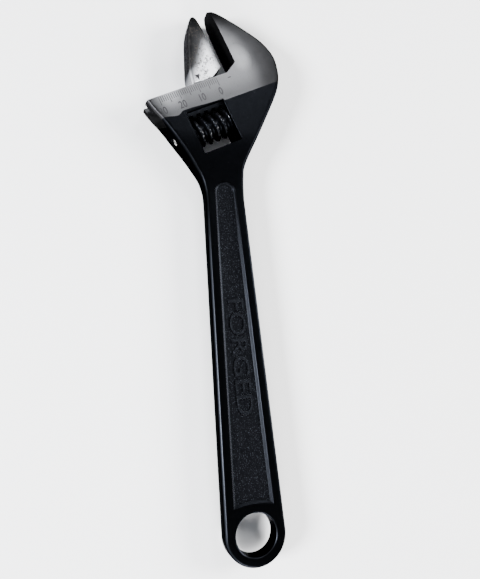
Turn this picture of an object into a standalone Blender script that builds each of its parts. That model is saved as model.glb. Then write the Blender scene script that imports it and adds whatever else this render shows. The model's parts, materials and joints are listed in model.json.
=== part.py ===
"""Adjustable wrench of the 250 mm class, built from its separate pieces.

Two frames are used. The plate frame has its origin at the centre of the hanging hole, on the
wrench's mid-plane, with +X up the handle to the jaws and +Y towards the open end of the rail.
The head frame has its origin where the fixed jaw's gripping face meets the throat: its +X (u)
runs along the rail to the open end, and its +Y (d) runs down from the jaws to the handle.
"""

import math

import bmesh
import bpy
from mathutils import Matrix, Vector

MM = 0.001

# Handle
HANDLE_THICKNESS = 9.0 * MM
HANDLE_END_RADIUS = 13.85 * MM
HANG_HOLE_RADIUS = 9.15 * MM
NECK_HALF_WIDTH = 9.2 * MM
THROAT_X = 215.5 * MM  # hanging hole to the throat, along the handle
THROAT_Y = -9.8 * MM
NECK_SETBACK = 66.5 * MM  # throat to the neck, along the handle
PANEL_RIM = 4.6 * MM
PANEL_DEPTH = 1.2 * MM
PANEL_WALL_SLOPE = 0.8 * MM
PANEL_END_GAP = 4.2 * MM  # hanging hole's edge to the recess
PANEL_END_BOW = 1.2 * MM

# Head and fixed jaw
HEAD_THICKNESS = 14.2 * MM
JAW_ANGLE = math.radians(21.6)
JAW_LENGTH = 29.0 * MM
JAW_TIP_THICKNESS = 5.0 * MM
JAW_TIP_WIDTH = 0.9 * MM
SHOULDER_LENGTH = 30.0 * MM
EDGE_INSET = 1.1 * MM
EDGE_DEPTH = 1.8 * MM
RAIL_DEPTH = 3.5 * MM
RAIL_LENGTH = 48.2 * MM
THROAT_CHAMFER = 6.2 * MM
# The head's sides, as (u, d) of the head frame in mm
LIP_SIDE = ((47.0, 8.5), (44.9, 15), (42.9, 23.5), (41.0, 33), (40.3, 38.5))
BACK_SIDE = ((16.6, 46.0), (3.1, 34.7), (-11.3, 22.3), (-16.6, 16.4), (-19.6, 10.2), (-20.6, 2.6),
             (-18.1, -5.5), (-12.7, -13.7), (-6.2, -21.6))

# Slide, rack and worm
SLIDE_GAP = 0.3 * MM
RACK_RADIUS = 5.5 * MM
RACK_AXIS_BELOW_RAIL = 9.5 * MM
RACK_BEHIND_FACE = 29.0 * MM  # gripping face to the rack's open end
RACK_PAST_FACE = 7.3 * MM  # gripping face to the rack's inner end
WEB_THICKNESS = 4.0 * MM
THREAD_PITCH = 4.0 * MM
THREAD_CREST = 1.4 * MM
THREAD_FLANK = 0.9 * MM  # how much wider the thread is at its root
MESH_DEPTH = 2.0 * MM
WORM_RADIUS = 7.0 * MM
WORM_END_GAP = 0.35 * MM
WINDOW_START = 14.0 * MM
WINDOW_WIDTH = 19.6 * MM
WINDOW_TOP_BELOW_RAIL = 11.5 * MM
WINDOW_UNDER_WORM = 4.8 * MM
PIN_RADIUS = 2.1 * MM
PIN_SEAT = 6.0 * MM
PIN_END_CHAMFER = 0.4 * MM
PIN_RECESS = 0.5 * MM
PIN_MOUTH = 42.9 * MM  # where the pin's seat comes out of the lip side
SPRING_WIRE_RADIUS = 0.35 * MM
SPRING_SEAT = 5.2 * MM
SPRING_TURNS = 4

# Movable jaw
JAW_OPENING = 8.0 * MM  # at rest
JAW_CLOSED_GAP = 0.1 * MM  # between the gripping faces when closed
JAW_FOOT = 16.4 * MM
JAW_CHAMFER = 6.0 * MM
WEB_SETBACK = 0.5 * MM
# The jaw's back, as (behind its gripping face, beyond the rail's throat) in mm
JAW_BACK = ((15.6, 0), (14.6, 3.8), (12.4, 8.8), (10.1, 13.8), (7.8, 18.8), (5.2, 23.6))
# Share of the jaws' length, from the throat, and the share of full thickness there
JAW_STATIONS = ((0.45, 1.0), (0.65, 0.97), (0.8, 0.91), (0.9, 0.8), (0.96, 0.66))

ROUND_STEPS = 40
CURVE_STEPS = 4  # edges between two points that a curve goes through

# What follows from the sizes above
RACK_D = RAIL_DEPTH + RACK_AXIS_BELOW_RAIL
BORE_RADIUS = RACK_RADIUS + SLIDE_GAP
WORM_D = RACK_D + RACK_RADIUS + WORM_RADIUS - MESH_DEPTH
WORM_ROOT_RADIUS = WORM_RADIUS - MESH_DEPTH - SLIDE_GAP
WINDOW_END = WINDOW_START + WINDOW_WIDTH
WINDOW_TOP = RAIL_DEPTH + WINDOW_TOP_BELOW_RAIL
WINDOW_BOTTOM = WORM_D + WORM_RADIUS + WINDOW_UNDER_WORM
WORM_LENGTH = WINDOW_WIDTH - 2 * WORM_END_GAP
WORM_MIDDLE = WINDOW_START + WINDOW_WIDTH / 2
SPRING_COIL_RADIUS = PIN_RADIUS + SLIDE_GAP + SPRING_WIRE_RADIUS
SPRING_BORE_RADIUS = SPRING_COIL_RADIUS + SPRING_WIRE_RADIUS + SLIDE_GAP
NECK_X = THROAT_X - NECK_SETBACK
HEAD_TURN = math.pi / 2 + JAW_ANGLE
HEAD_TO_PLATE = Matrix.Translation((THROAT_X, THROAT_Y, 0)) @ Matrix.Rotation(HEAD_TURN, 4, "Z")


def head_point(u, d):
    """A point of the head frame, in the plate frame."""
    return (HEAD_TO_PLATE @ Vector((u, d, 0))).to_2d()


def smooth_through(points):
    """Points on a Catmull-Rom curve through the given ones, without the last."""
    padded = [2 * points[0] - points[1], *points, 2 * points[-1] - points[-2]]
    found = []
    for a, b, c, d in zip(padded, padded[1:], padded[2:], padded[3:]):
        for step in range(CURVE_STEPS):
            t = step / CURVE_STEPS
            found.append(
                0.5 * (2 * b + (c - a) * t + (2 * a - 5 * b + 4 * c - d) * t**2
                       + (3 * b - a - 3 * c + d) * t**3)
            )
    return found


def arc(radius, start, end, steps):
    angles = [start + (end - start) * step / steps for step in range(steps + 1)]
    return [Vector((radius * math.cos(angle), radius * math.sin(angle))) for angle in angles]


def handle_half_width(x):
    """Half the handle's width on the straight sides that touch the round end."""
    tangent = side_tangent_angle()
    start = HANDLE_END_RADIUS * Vector((math.cos(tangent), math.sin(tangent)))
    share = (x - start.x) / (NECK_X - start.x)
    return start.y + (NECK_HALF_WIDTH - start.y) * share


def side_tangent_angle():
    reach = math.hypot(NECK_X, NECK_HALF_WIDTH)
    return math.atan2(NECK_HALF_WIDTH, NECK_X) + math.acos(HANDLE_END_RADIUS / reach)


def body_outline():
    """The forging's outline anticlockwise, with each edge's inset to the flat face."""
    machined = [
        head_point(0, -JAW_LENGTH),
        head_point(0, 0),
        head_point(THROAT_CHAMFER, RAIL_DEPTH),
    ]
    neck = Vector((NECK_X, NECK_HALF_WIDTH))
    lip_side = smooth_through(
        [
            head_point(RAIL_LENGTH, RAIL_DEPTH),
            *[head_point(u * MM, d * MM) for u, d in LIP_SIDE],
            neck + Vector((10.8 * MM, 1.7 * MM)),
            neck + Vector((5.2 * MM, 0.3 * MM)),
            neck,
        ]
    )
    turn = side_tangent_angle()
    handle_end = arc(HANDLE_END_RADIUS, turn, 2 * math.pi - turn, 28)
    tip = head_point(-JAW_TIP_WIDTH, -JAW_LENGTH)
    back_side = smooth_through(
        [
            Vector((NECK_X, -NECK_HALF_WIDTH)),
            Vector((NECK_X + 10 * MM, -NECK_HALF_WIDTH - 0.5 * MM)),
            *[head_point(u * MM, d * MM) for u, d in BACK_SIDE],
            tip,
        ]
    )
    outline = machined + lip_side + [neck] + handle_end + back_side + [tip]
    insets = [0.0] * len(machined) + insets_to_tip(len(outline) - len(machined) - 1) + [0.0]
    return outline, insets


def insets_to_tip(edges):
    """Forged edges' insets up to a blunt tip, small at the end so that they don't cross it."""
    return [EDGE_INSET] * (edges - CURVE_STEPS) + [JAW_TIP_WIDTH / 2] * CURVE_STEPS


def inset_loop(outline, insets):
    """Each corner moved in, so that every edge lies at its own inset."""
    moved = []
    count = len(outline)
    for index, point in enumerate(outline):
        before = (point - outline[index - 1]).normalized()
        after = (outline[(index + 1) % count] - point).normalized()
        normal_a, normal_b = Vector((-before.y, before.x)), Vector((-after.y, after.x))
        inset_a, inset_b = insets[index - 1], insets[index]
        cross = normal_a.x * normal_b.y - normal_a.y * normal_b.x
        if abs(cross) < 0.3:
            between = (normal_a + normal_b) / 2
            moved.append(point + between / between.length_squared * (inset_a + inset_b) / 2)
            continue
        shift = Vector((inset_a * normal_b.y - inset_b * normal_a.y,
                        inset_b * normal_a.x - inset_a * normal_b.x)) / cross
        moved.append(point + shift)
    return moved


def forged_plate(outline, insets, half_thickness):
    """A closed plate with sloped edges, as a new bmesh."""
    mesh = bmesh.new()
    inner = inset_loop(outline, insets)
    levels = [
        (inner, -half_thickness),
        (outline, EDGE_DEPTH - half_thickness),
        (outline, half_thickness - EDGE_DEPTH),
        (inner, half_thickness),
    ]
    rings = [[mesh.verts.new((p.x, p.y, z)) for p in loop] for loop, z in levels]
    count = len(outline)
    for low, high in zip(rings, rings[1:]):
        for i in range(count):
            j = (i + 1) % count
            mesh.faces.new((low[i], low[j], high[j], high[i]))
    mesh.faces.new(reversed(rings[0]))
    mesh.faces.new(rings[-1])
    return mesh


def thin_by(mesh, stations, half_thickness):
    """Cuts the plate at each station, and lowers its faces to half_thickness(point) there.

    A station is a point on the cut and the direction across it.
    """
    for place, across in stations:
        geometry = mesh.verts[:] + mesh.edges[:] + mesh.faces[:]
        bmesh.ops.bisect_plane(mesh, geom=geometry, plane_co=place, plane_no=across, dist=1e-7)
    full = HEAD_THICKNESS / 2
    for vert in mesh.verts:
        side = math.copysign(1, vert.co.z)
        level = abs(vert.co.z)
        wanted = half_thickness(vert.co)
        middle = full - EDGE_DEPTH
        if level >= middle:
            vert.co.z = side * (wanted - (full - level))
        else:
            vert.co.z *= (wanted - EDGE_DEPTH) / middle


def ease(share):
    share = min(max(share, 0.0), 1.0)
    return share * share * (3 - 2 * share)


def jaw_half_thickness(d):
    """Half the jaws' thickness at d: full at the rail, thin and rounded at the tip."""
    full, tip = HEAD_THICKNESS / 2, JAW_TIP_THICKNESS / 2
    marks = [(-share * JAW_LENGTH, full * part) for share, part in JAW_STATIONS]
    marks = [(RAIL_DEPTH, full), *marks, (-JAW_LENGTH, tip)]
    for (d0, h0), (d1, h1) in zip(marks, marks[1:]):
        if d > d1:
            return h0 + (h1 - h0) * min(max((d0 - d) / (d0 - d1), 0.0), 1.0)
    return tip


def body_half_thickness(point):
    """The handle is thinner than the head, and the fixed jaw thins to its tip."""
    rise = ease((point.x - NECK_X - 2 * MM) / SHOULDER_LENGTH)
    shoulder = HANDLE_THICKNESS / 2 + (HEAD_THICKNESS - HANDLE_THICKNESS) / 2 * rise
    in_head = HEAD_TO_PLATE.inverted() @ Vector((point.x, point.y, 0))
    return min(shoulder, jaw_half_thickness(in_head.y))


def new_object(name, mesh, parent, place=(0, 0, 0), turn=None):
    """An object from a bmesh, under its parent."""
    bmesh.ops.recalc_face_normals(mesh, faces=mesh.faces)
    if mesh.calc_volume(signed=True) < 0:
        bmesh.ops.reverse_faces(mesh, faces=mesh.faces)
    data = bpy.data.meshes.new(name)
    mesh.to_mesh(data)
    mesh.free()
    made = bpy.data.objects.new(name, data)
    bpy.context.scene.collection.objects.link(made)
    made.parent = parent
    made.location = place
    if turn:
        made.rotation_euler = turn
    return made


def new_empty(name, parent, place, turn_z=0.0):
    empty = bpy.data.objects.new(name, None)
    bpy.context.scene.collection.objects.link(empty)
    empty.parent = parent
    empty.location = place
    empty.rotation_euler = (0, 0, turn_z)
    empty.empty_display_size = 10 * MM
    return empty


def as_cutter(obj):
    obj.hide_render = True
    obj.display_type = "WIRE"
    return obj


def combine(obj, other, operation):
    modifier = obj.modifiers.new(other.name, "BOOLEAN")
    modifier.object = other
    modifier.operation = operation
    modifier.solver = "EXACT"


def prism(outline, low, high, top_outline=None):
    """A closed prism on an anticlockwise outline."""
    mesh = bmesh.new()
    bottom = [mesh.verts.new((p.x, p.y, low)) for p in outline]
    top = [mesh.verts.new((p.x, p.y, high)) for p in (top_outline or outline)]
    for i in range(len(bottom)):
        j = (i + 1) % len(bottom)
        mesh.faces.new((bottom[i], bottom[j], top[j], top[i]))
    mesh.faces.new(reversed(bottom))
    mesh.faces.new(top)
    return mesh


def box(x0, x1, y0, y1, z0, z1):
    return prism([Vector((x0, y0)), Vector((x1, y0)), Vector((x1, y1)), Vector((x0, y1))], z0, z1)


def turned(profile, steps=ROUND_STEPS):
    """A solid turned about local X from (x, radius) pairs, with flat ends."""
    mesh = bmesh.new()
    rings = []
    for x, radius in profile:
        ring = []
        for step in range(steps):
            angle = 2 * math.pi * step / steps
            ring.append(mesh.verts.new((x, radius * math.cos(angle), radius * math.sin(angle))))
        rings.append(ring)
    for a, b in zip(rings, rings[1:]):
        for i in range(steps):
            j = (i + 1) % steps
            mesh.faces.new((a[i], a[j], b[j], b[i]))
    mesh.faces.new(rings[0])
    mesh.faces.new(reversed(rings[-1]))
    return mesh


def material(name, color, roughness, metallic):
    made = bpy.data.materials.new(name)
    made.use_nodes = True
    made.diffuse_color = (*color, 1)
    shader = made.node_tree.nodes["Principled BSDF"]
    shader.inputs["Base Color"].default_value = (*color, 1)
    shader.inputs["Roughness"].default_value = roughness
    shader.inputs["Metallic"].default_value = metallic
    return made


def finish(obj, finish_material, smooth_angle):
    obj.data.materials.append(finish_material)
    obj.data.shade_smooth()
    obj.data.set_sharp_from_angle(angle=math.radians(smooth_angle))


def panel_outline(slope):
    """The handle's recess, brought in by slope on all sides."""
    start = HANG_HOLE_RADIUS + PANEL_END_GAP + slope
    rim = PANEL_RIM + slope
    end_width = handle_half_width(start) - rim
    top_radius = handle_half_width(NECK_X) - rim
    centre = NECK_X + 3.5 * MM
    foot = [
        Vector((start - PANEL_END_BOW * (y / end_width) ** 2, y))
        for y in [end_width * (1 - 2 * step / 6) for step in range(7)]
    ]
    head = [
        Vector((centre + top_radius * math.sin(angle), -top_radius * math.cos(angle)))
        for angle in [math.pi * step / 12 for step in range(13)]
    ]
    return foot + head


def make_body(plate, head):
    outline, insets = body_outline()
    mesh = forged_plate(outline, insets, HEAD_THICKNESS / 2)
    stations = [
        (Vector((NECK_X + 2 * MM + SHOULDER_LENGTH * step / 6, 0, 0)), Vector((1, 0, 0)))
        for step in range(7)
    ]
    across_jaw = head_point(0, 1) - head_point(0, 0)
    stations += [
        (head_point(0, -share * JAW_LENGTH).to_3d(), across_jaw.to_3d())
        for share, _ in JAW_STATIONS
    ]
    thin_by(mesh, stations, body_half_thickness)
    body = new_object("wrench_body", mesh, plate)

    far = HEAD_THICKNESS
    hole = as_cutter(new_object("cut_hanging_hole", turned([(-far, HANG_HOLE_RADIUS),
                                                           (far, HANG_HOLE_RADIUS)], 48),
                                plate, turn=(0, math.pi / 2, 0)))
    combine(body, hole, "DIFFERENCE")
    surface = HANDLE_THICKNESS / 2
    for name, side in (("front", 1), ("back", -1)):
        floor, wide = panel_outline(PANEL_WALL_SLOPE), panel_outline(-PANEL_WALL_SLOPE)
        recess = prism(floor, surface - PANEL_DEPTH, surface + PANEL_DEPTH, wide)
        if side < 0:
            bmesh.ops.scale(recess, vec=(1, 1, -1), verts=recess.verts)
        combine(body, as_cutter(new_object("cut_recess_" + name, recess, plate)), "DIFFERENCE")

    past_end = RAIL_LENGTH + 10 * MM
    blind_end = JAW_CLOSED_GAP - RACK_PAST_FACE - 1.5 * MM
    slot_end = JAW_CLOSED_GAP + JAW_CHAMFER + WEB_SETBACK - 2 * SLIDE_GAP
    cuts = {
        "cut_worm_window": box(WINDOW_START, WINDOW_END, WINDOW_TOP, WINDOW_BOTTOM, -far, far),
        "cut_web_slot": box(slot_end, past_end, RAIL_DEPTH - 5 * MM, RACK_D,
                            -WEB_THICKNESS / 2 - SLIDE_GAP, WEB_THICKNESS / 2 + SLIDE_GAP),
    }
    for name, mesh in cuts.items():
        combine(body, as_cutter(new_object(name, mesh, head)), "DIFFERENCE")
    bore = turned([(blind_end, BORE_RADIUS), (past_end, BORE_RADIUS)])
    combine(body, as_cutter(new_object("cut_rack_bore", bore, head, (0, RACK_D, 0))), "DIFFERENCE")
    reach = WINDOW_START - PIN_SEAT - PIN_END_CHAMFER
    seat = turned([(reach, PIN_RADIUS + SLIDE_GAP), (past_end, PIN_RADIUS + SLIDE_GAP)], 28)
    combine(body, as_cutter(new_object("cut_pin_seat", seat, head, (0, WORM_D, 0))), "DIFFERENCE")
    finish(body, material("forged_black", (0.012, 0.013, 0.016), 0.38, 0.6), 25)


def make_movable_jaw(head):
    """The jaw, its web and its rack, one forging that slides along the rack's axis."""
    foot = RAIL_DEPTH - SLIDE_GAP
    tip = Vector((JAW_TIP_WIDTH, -JAW_LENGTH))
    back = [Vector((u * MM, -beyond * MM)) for u, beyond in JAW_BACK]
    outer = smooth_through([Vector((JAW_FOOT, foot)), *back, tip])
    inner = [tip, Vector((0, -JAW_LENGTH)), Vector((0, 0)), Vector((JAW_CHAMFER, foot))]
    outline = list(reversed(outer + inner))
    insets = [0.0] * 3 + insets_to_tip(len(outline) - 4)[::-1] + [0.0]
    mesh = forged_plate(outline, insets, HEAD_THICKNESS / 2)
    stations = [((0, -share * JAW_LENGTH, 0), (0, 1, 0)) for share, _ in JAW_STATIONS]
    thin_by(mesh, stations, lambda point: jaw_half_thickness(point.y))
    bmesh.ops.translate(mesh, verts=mesh.verts, vec=(0, -RACK_D, 0))
    place = (JAW_OPENING, RACK_D, 0)
    jaw = new_object("movable_jaw", mesh, head, place)

    web = box(JAW_CHAMFER + WEB_SETBACK, JAW_FOOT - WEB_SETBACK, foot - RACK_D - 3 * MM,
              -0.3 * RACK_RADIUS, -WEB_THICKNESS / 2, WEB_THICKNESS / 2)
    combine(jaw, as_cutter(new_object("join_web", web, head, place)), "UNION")
    rack = turned([(-RACK_PAST_FACE, RACK_RADIUS), (RACK_BEHIND_FACE, RACK_RADIUS)])
    combine(jaw, as_cutter(new_object("join_rack", rack, head, place)), "UNION")
    combine(jaw, as_cutter(new_object("cut_rack_teeth", rack_spaces(), head, place)), "DIFFERENCE")
    finish(jaw, material("ground_steel", (0.42, 0.43, 0.44), 0.32, 1.0), 25)


def rack_spaces():
    """The spaces between the rack's teeth, slanted to lie along the worm's thread."""
    mesh = bmesh.new()
    tip_d = RACK_RADIUS + 1 * MM
    floor_d = RACK_RADIUS - MESH_DEPTH - SLIDE_GAP
    mean_radius = WORM_RADIUS - MESH_DEPTH / 2
    slant = THREAD_PITCH / (2 * math.pi * mean_radius)
    reach = RACK_RADIUS + 1 * MM

    def half_width(d):
        below_crest = d - (RACK_RADIUS - MESH_DEPTH)
        return THREAD_CREST / 2 + THREAD_FLANK / 2 * below_crest / MESH_DEPTH + SLIDE_GAP

    first = math.ceil((-RACK_PAST_FACE + JAW_OPENING - WORM_MIDDLE) / THREAD_PITCH - 0.5)
    last = math.floor((RACK_BEHIND_FACE + JAW_OPENING - WORM_MIDDLE) / THREAD_PITCH + 0.5)
    for turn in range(first, last + 1):
        middle = WORM_MIDDLE + turn * THREAD_PITCH - JAW_OPENING
        section = [(-half_width(floor_d), floor_d), (half_width(floor_d), floor_d),
                   (half_width(tip_d), tip_d), (-half_width(tip_d), tip_d)]
        ends = []
        for z in (-reach, reach):
            ends.append([mesh.verts.new((middle + x - slant * z, d, z)) for x, d in section])
        for i in range(4):
            j = (i + 1) % 4
            mesh.faces.new((ends[0][i], ends[0][j], ends[1][j], ends[1][i]))
        mesh.faces.new(reversed(ends[0]))
        mesh.faces.new(ends[1])
    return mesh


def threaded_rod():
    """A right-hand thread about local X, longer than the worm, with its thread on the rack's side.

    Each column of points is the thread's section at one angle. A full turn moves the section on
    by one pitch, so the last column joins the first one a pitch further along.
    """
    mesh = bmesh.new()
    steps = ROUND_STEPS
    turns = math.ceil(WORM_LENGTH / 2 / THREAD_PITCH) + 2
    root = THREAD_CREST / 2 + THREAD_FLANK / 2 * (MESH_DEPTH + SLIDE_GAP) / MESH_DEPTH
    section = [(-root, WORM_ROOT_RADIUS), (-THREAD_CREST / 2, WORM_RADIUS),
               (THREAD_CREST / 2, WORM_RADIUS), (root, WORM_ROOT_RADIUS)]
    columns = []
    for step in range(steps):
        angle = 2 * math.pi * step / steps
        # From -Y, where the rack is, turning by the right-hand rule about +X.
        side = Vector((0, -math.cos(angle), -math.sin(angle)))
        column = []
        for turn in range(-turns, turns + 1):
            for offset, radius in section:
                x = THREAD_PITCH * (turn + angle / (2 * math.pi)) + offset
                column.append(mesh.verts.new(side * radius + Vector((x, 0, 0))))
        columns.append(column)
    last = len(columns[0]) - 1
    for step in range(steps):
        here, beside = columns[step], columns[(step + 1) % steps]
        shift = len(section) if step == steps - 1 else 0
        for i in range(last - shift):
            mesh.faces.new((here[i], beside[i + shift], beside[i + shift + 1], here[i + 1]))
    span = len(section)
    low_ring = [column[0] for column in columns] + [columns[0][span]]
    high_ring = [columns[-1][last - span]] + [column[last] for column in columns]
    low_step, high_step = columns[0][:span + 1], columns[-1][last - span:]
    for ring, step in ((low_ring, low_step), (high_ring, high_step)):
        centre = mesh.verts.new((step[span // 2].co.x, 0, 0))
        for a, b in zip(ring, ring[1:]):
            mesh.faces.new((a, b, centre))
        mesh.faces.new((*step, centre))
    return mesh


def make_worm(head):
    place = (WORM_MIDDLE, WORM_D, 0)
    worm = new_object("adjusting_worm", threaded_rod(), head, place)
    half, chamfer = WORM_LENGTH / 2, 0.8 * MM
    outside = WORM_RADIUS + 1 * MM
    blank = turned([(-half, WORM_RADIUS - chamfer), (-half + outside - WORM_RADIUS + chamfer, outside),
                    (half - outside + WORM_RADIUS - chamfer, outside), (half, WORM_RADIUS - chamfer)],
                   ROUND_STEPS + 8)
    combine(worm, as_cutter(new_object("trim_worm", blank, head, place)), "INTERSECT")
    hole = PIN_RADIUS + SLIDE_GAP
    seat = half - SPRING_SEAT
    bore = turned([(-half - 2 * MM, hole), (seat, hole), (seat + 0.01 * MM, SPRING_BORE_RADIUS),
                   (half + 2 * MM, SPRING_BORE_RADIUS)], 28)
    combine(worm, as_cutter(new_object("cut_worm_bore", bore, head, place)), "DIFFERENCE")
    finish(worm, material("worm_black", (0.014, 0.015, 0.017), 0.34, 0.7), 30)


def make_pin(head):
    """The pin that the worm turns on, pushed in from the open end of the head."""
    start = WINDOW_START - PIN_SEAT
    end = PIN_MOUTH - PIN_RECESS
    mesh = turned([(start, PIN_RADIUS - PIN_END_CHAMFER), (start + PIN_END_CHAMFER, PIN_RADIUS),
                   (end - PIN_END_CHAMFER, PIN_RADIUS), (end, PIN_RADIUS - PIN_END_CHAMFER)], 28)
    pin = new_object("worm_pin", mesh, head, (0, WORM_D, 0))
    finish(pin, material("pin_steel", (0.5, 0.5, 0.49), 0.25, 1.0), 30)


def make_spring(head):
    """A short compression spring on the pin, in the worm's end, that takes up its end play."""
    mesh = bmesh.new()
    start = WORM_MIDDLE + WORM_LENGTH / 2 - SPRING_SEAT + SLIDE_GAP + SPRING_WIRE_RADIUS
    end = WINDOW_END - SLIDE_GAP - SPRING_WIRE_RADIUS
    per_turn, sides = 18, 8
    count = SPRING_TURNS * per_turn
    rings = []
    for step in range(count + 1):
        angle = 2 * math.pi * step / per_turn
        x = start + (end - start) * step / count
        outward = Vector((0, math.cos(angle), math.sin(angle)))
        centre = Vector((x, 0, 0)) + outward * SPRING_COIL_RADIUS
        ring = []
        for side in range(sides):
            turn = 2 * math.pi * side / sides
            ring.append(mesh.verts.new(centre + SPRING_WIRE_RADIUS * (
                math.cos(turn) * outward + math.sin(turn) * Vector((1, 0, 0)))))
        rings.append(ring)
    for a, b in zip(rings, rings[1:]):
        for i in range(sides):
            j = (i + 1) % sides
            mesh.faces.new((a[i], a[j], b[j], b[i]))
    mesh.faces.new(rings[0])
    mesh.faces.new(reversed(rings[-1]))
    spring = new_object("worm_spring", mesh, head, (0, WORM_D, 0))
    finish(spring, material("spring_steel", (0.45, 0.45, 0.46), 0.3, 1.0), 50)


def main():
    for obj in list(bpy.data.objects):
        bpy.data.objects.remove(obj)
    outline, _ = body_outline()
    low = Vector((min(p.x for p in outline), min(p.y for p in outline)))
    high = Vector((max(p.x for p in outline), max(p.y for p in outline)))
    middle = (low + high) / 2
    plate = new_empty("wrench_frame", None, (-middle.x, -middle.y, HEAD_THICKNESS / 2))
    head = new_empty("head_frame", plate, (THROAT_X, THROAT_Y, 0), HEAD_TURN)
    make_body(plate, head)
    make_movable_jaw(head)
    make_worm(head)
    make_pin(head)
    make_spring(head)


main()
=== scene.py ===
"""Adjustable wrench: the finished pieces around the packed frame.

Places on the head are given in the head frame. Its origin is the throat, where the fixed jaw's
gripping face meets the rail: u runs along the rail to its open end, d runs down from the jaws to
the handle, and z out of the front face from the wrench's mid-plane.
"""

import json
import math

import bmesh
import bpy
import numpy as np
from mathutils import Matrix, Vector


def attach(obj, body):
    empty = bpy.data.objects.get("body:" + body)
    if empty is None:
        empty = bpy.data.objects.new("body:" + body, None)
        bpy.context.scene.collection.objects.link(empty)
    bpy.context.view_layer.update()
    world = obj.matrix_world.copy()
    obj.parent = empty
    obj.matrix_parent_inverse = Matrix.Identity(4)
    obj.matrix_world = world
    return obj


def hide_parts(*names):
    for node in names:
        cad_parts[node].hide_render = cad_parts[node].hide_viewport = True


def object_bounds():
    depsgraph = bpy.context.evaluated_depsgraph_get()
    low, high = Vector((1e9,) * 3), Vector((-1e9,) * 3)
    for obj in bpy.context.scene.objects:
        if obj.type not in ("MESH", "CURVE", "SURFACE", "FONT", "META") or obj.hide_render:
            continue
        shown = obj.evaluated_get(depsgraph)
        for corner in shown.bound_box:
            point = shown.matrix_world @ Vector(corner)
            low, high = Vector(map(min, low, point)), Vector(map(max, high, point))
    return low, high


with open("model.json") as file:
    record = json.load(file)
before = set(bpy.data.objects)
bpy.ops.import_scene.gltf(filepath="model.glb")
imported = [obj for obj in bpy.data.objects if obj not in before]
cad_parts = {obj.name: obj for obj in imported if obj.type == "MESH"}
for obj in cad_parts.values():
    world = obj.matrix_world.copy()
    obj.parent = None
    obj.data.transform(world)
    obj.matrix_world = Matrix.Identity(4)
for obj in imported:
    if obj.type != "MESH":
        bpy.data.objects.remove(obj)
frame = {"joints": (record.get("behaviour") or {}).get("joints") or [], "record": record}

bl_info = {
    "name": "Adjustable Wrench",
    "version": (1, 0, 0),
    "blender": (4, 5, 0),
    "location": "3D View > Sidebar > Wrench",
    "description": "Builds the finished pieces of an adjustable wrench around its frame",
    "category": "Object",
}

MM = 0.001

# What the frame says
CAD_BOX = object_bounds()
JOINTS = {joint["name"]: joint for joint in frame["joints"]}
OPENINGS = {space["name"]: space["box_m"] for space in frame["record"]["physics"]["openings"]}
ALONG = Vector(JOINTS["jaw_slide"]["axis"]).normalized()
DOWN = Vector((-ALONG.y, ALONG.x, 0))
FRONT = Vector((0, 0, 1))
MID_PLANE = (CAD_BOX[0].z + CAD_BOX[1].z) / 2
HALF_HEAD = (CAD_BOX[1].z - CAD_BOX[0].z) / 2
HOLE_CENTRE = (Vector(OPENINGS["hanging_hole"][0]) + Vector(OPENINGS["hanging_hole"][1])) / 2
HOLE_CENTRE.z = MID_PLANE
WORM_CENTRE = Vector(JOINTS["worm_spin"]["pos_m"])


def length(name, millimetres, description):
    """A length property whose default is given in millimetres."""
    return bpy.props.FloatProperty(
        name=name, description=description, default=millimetres * MM, unit="LENGTH", precision=5
    )


def colour(name, value, description):
    return bpy.props.FloatVectorProperty(
        name=name, description=description, default=value, size=3, subtype="COLOR", min=0, max=1
    )


def amount(name, value, description):
    return bpy.props.FloatProperty(name=name, description=description, default=value)


def count(name, value, description):
    return bpy.props.IntProperty(name=name, description=description, default=value, min=1)


class BodySizes(bpy.types.PropertyGroup):
    """The forging that is the handle, the rail and the fixed jaw."""

    throat_x: length("Throat along", 215.5, "From the hanging hole to the throat, along the handle")
    throat_y: length("Throat across", -9.8, "From the handle's centre line to the throat")
    handle_thickness: length("Handle thickness", 9.0, "Thickness of the handle's flat sides")
    end_radius: length("End radius", 13.85, "Radius of the handle's round end")
    hole_radius: length("Hole radius", 9.15, "Radius of the hanging hole")
    neck_half_width: length("Neck half width", 9.2, "Half the width where the handle meets the head")
    neck_setback: length("Neck setback", 66.5, "From the throat back to the neck, along the handle")
    shoulder: length("Shoulder", 30.0, "Length over which the handle thickens into the head")
    jaw_length: length("Jaw length", 29.0, "From the throat to the jaw's tip")
    tip_width: length("Tip width", 0.9, "Width of the jaw's blunt tip")
    rail_depth: length("Rail depth", 3.5, "From the throat down to the rail's top")
    rail_length: length("Rail length", 48.2, "From the fixed jaw's face to the rail's open end")
    throat_chamfer: length("Throat chamfer", 6.2, "Length along the rail of the sloped throat")
    edge_inset: length("Edge inset", 1.3, "How far the forged edges are rounded in from the side")
    edge_depth: length("Edge depth", 2.0, "How far the forged edges are rounded down the side")
    hole_round: length("Hole rounding", 0.7, "Radius of the hanging hole's rims")
    window_round: length("Window rounding", 0.45, "Radius of the worm window's rims")
    crown_width: length("Crown width", 13.0, "How far in from the outer edge the head is crowned")
    crown_drop: length("Crown drop", 0.25, "How much lower the crowned head is at its outer edge")
    panel_rim: length("Panel rim", 4.6, "Width of the flat rim beside the handle's recess")
    panel_depth: length("Panel depth", 1.2, "Depth of the handle's recess")
    panel_slope: length("Panel slope", 0.8, "How far the recess's walls slope in")
    panel_end_gap: length("Panel end gap", 4.2, "From the hanging hole's edge to the recess")
    panel_end_bow: length("Panel end bow", 1.2, "How much the recess's lower end is bowed")
    grid: length("Grid", 1.25, "Spacing of the mesh on the head's faces")


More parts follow.
